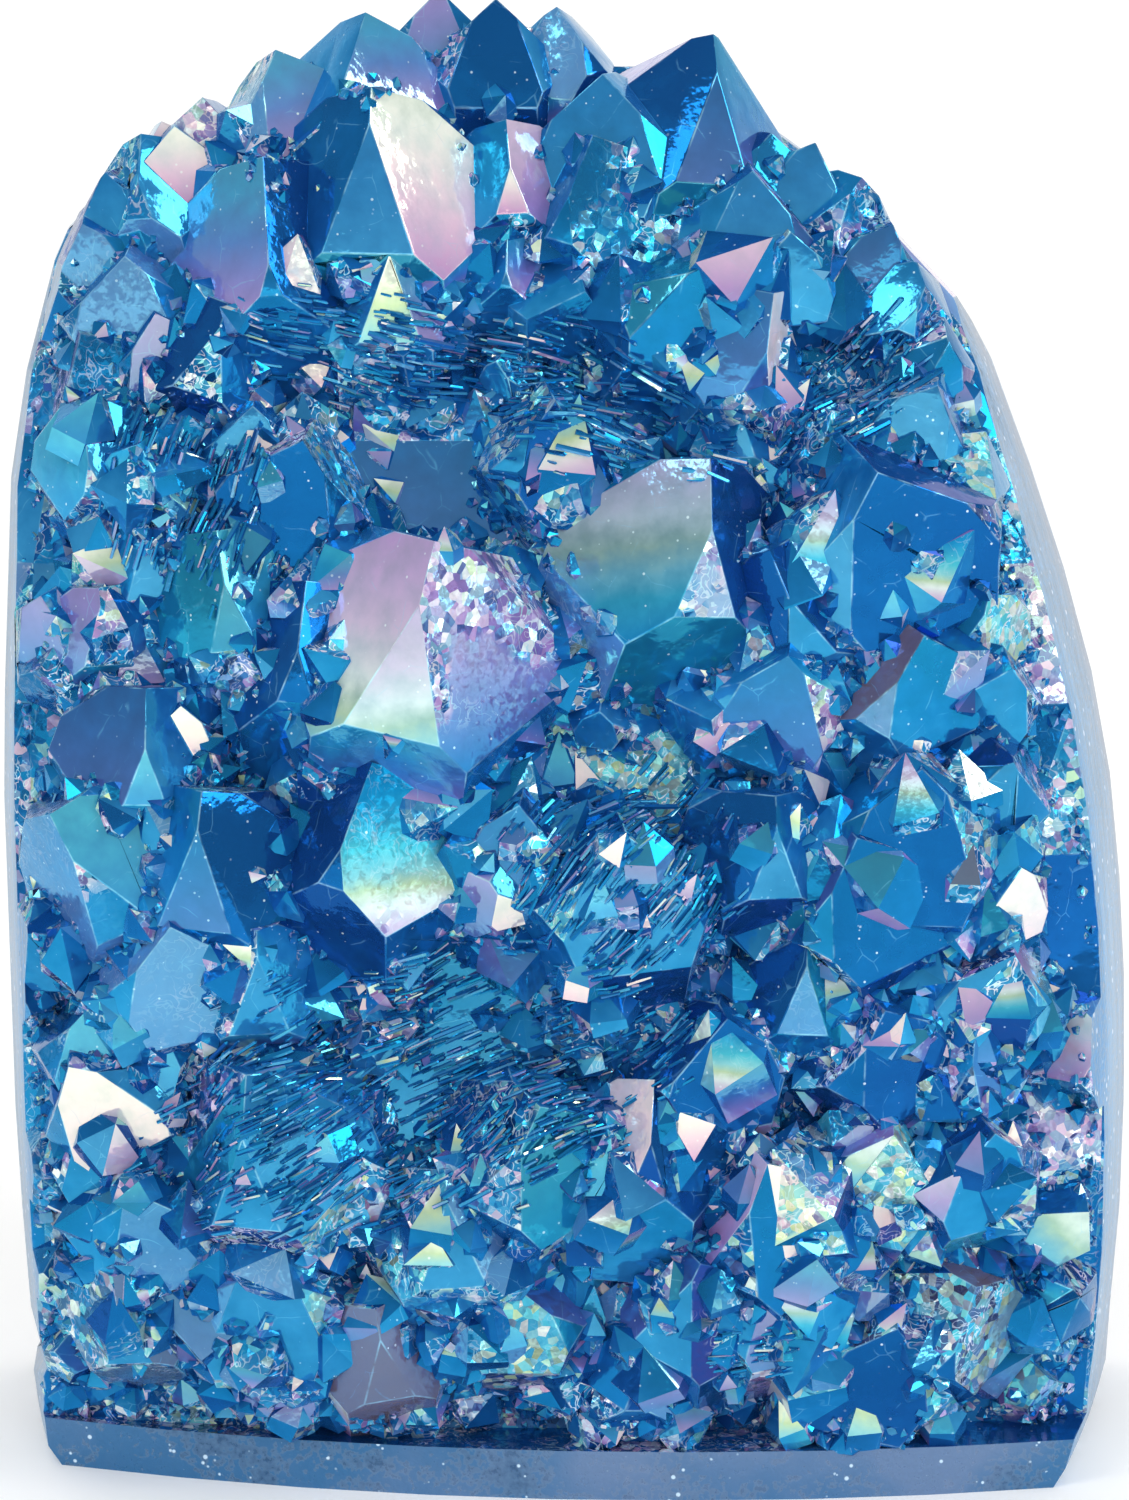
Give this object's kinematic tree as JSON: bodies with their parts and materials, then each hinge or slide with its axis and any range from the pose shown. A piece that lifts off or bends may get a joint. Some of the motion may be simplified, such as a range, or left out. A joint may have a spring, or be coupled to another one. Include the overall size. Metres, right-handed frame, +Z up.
{
  "type": "angel aura quartz cluster",
  "caption": "Cut-base cluster of aura-coated quartz: a slice of crystal-lined rock, sawn flat to stand, with smooth ground sides and a front crust of iridescent blue crystal points",
  "frame": {"origin": "middle of the bounding box seen from above, on the flat sawn base", "axes": "+Z up, the crystal crust faces -Y, the natural skin of the rock faces +Y, +X is to the right seen from the front"},
  "size_m": [0.0704, 0.0384, 0.0885],
  "materials": {
    "aura_quartz": "gloss"
  },
  "bodies": {
    "root": {"quartz_cluster": "aura_quartz"}
  },
  "joints": []
}
